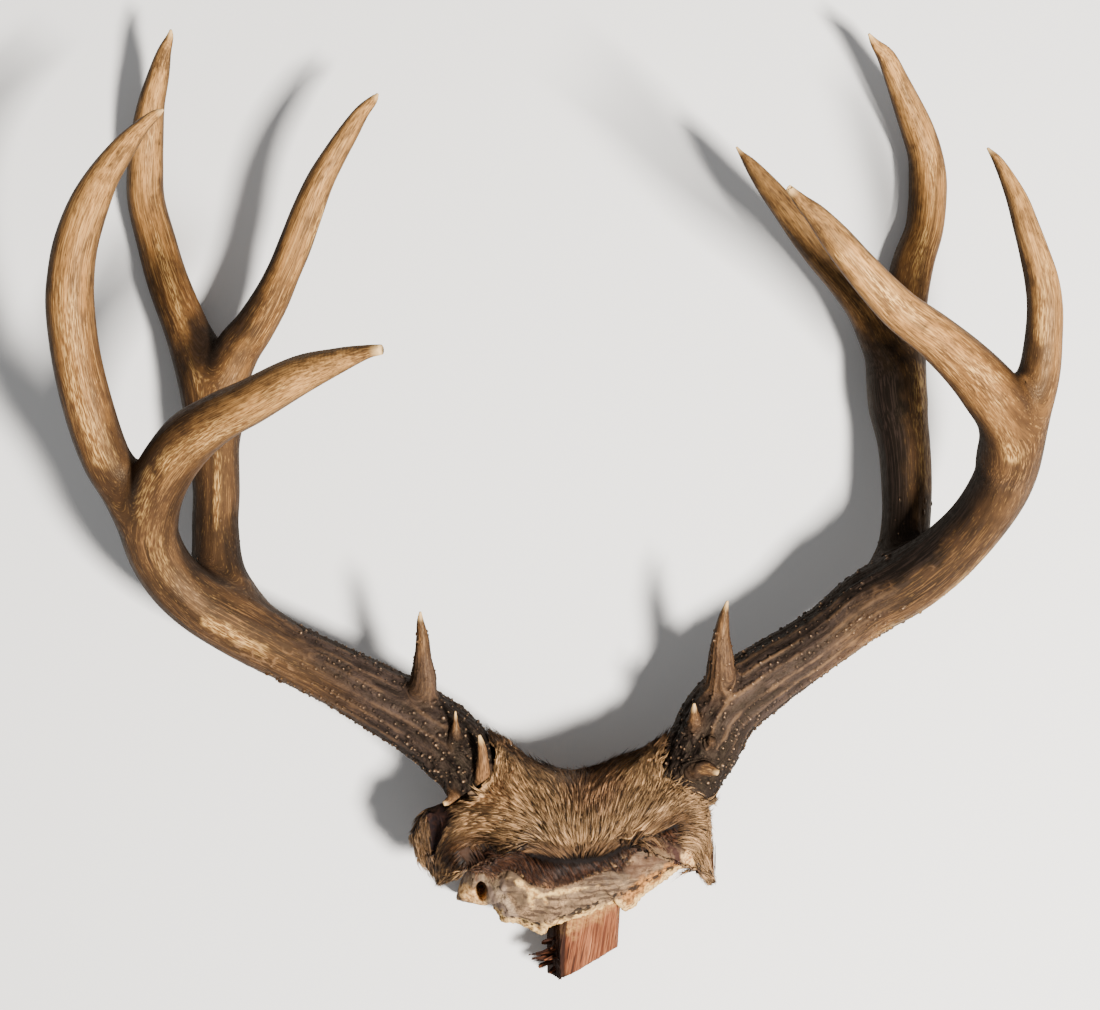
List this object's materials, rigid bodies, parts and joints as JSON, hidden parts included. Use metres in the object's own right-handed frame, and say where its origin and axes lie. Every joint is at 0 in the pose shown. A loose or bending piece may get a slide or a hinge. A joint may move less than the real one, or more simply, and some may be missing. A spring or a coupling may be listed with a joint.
{
  "type": "deer antlers on a skull plate",
  "caption": "Branching deer antlers on their sawn skull plate, with the hide of the forehead still on it and a broken wooden block behind it.",
  "frame": {"origin": "on the surface that the rack lies on, under the middle of its bounding box", "axes": "+Z away from that surface, the way that the deer faced; +Y from the skull towards the tips; +X to the right of someone who faces the deer"},
  "size_m": [0.529, 0.5314, 0.209],
  "materials": {
    "left_trunk": "dark dry antler with pearls, semi-gloss",
    "left_front_beam": "golden-tan antler, streaked lengthwise, semi-gloss",
    "left_outer_tine": "golden-tan antler, streaked lengthwise, semi-gloss",
    "left_rear_beam": "golden-tan antler, streaked lengthwise, semi-gloss",
    "left_inner_tine": "golden-tan antler, streaked lengthwise, semi-gloss",
    "right_trunk": "dark dry antler with pearls, semi-gloss",
    "right_front_beam": "golden-tan antler, streaked lengthwise, semi-gloss",
    "right_outer_tine": "golden-tan antler, streaked lengthwise, semi-gloss",
    "right_rear_beam": "golden-tan antler, streaked lengthwise, semi-gloss",
    "right_inner_tine": "golden-tan antler, streaked lengthwise, semi-gloss",
    "skull_plate": "dry bone with dried tissue, matte",
    "hide": "dried hide with brown hair, matte",
    "wood_block": "broken reddish wood, matte"
  },
  "bodies": {
    "root": {"left_trunk": "left_trunk", "left_front_beam": "left_front_beam", "left_outer_tine": "left_outer_tine", "left_rear_beam": "left_rear_beam", "left_inner_tine": "left_inner_tine", "right_trunk": "right_trunk", "right_front_beam": "right_front_beam", "right_outer_tine": "right_outer_tine", "right_rear_beam": "right_rear_beam", "right_inner_tine": "right_inner_tine", "skull_plate": "skull_plate", "hide": "hide", "wood_block": "wood_block"}
  },
  "joints": []
}
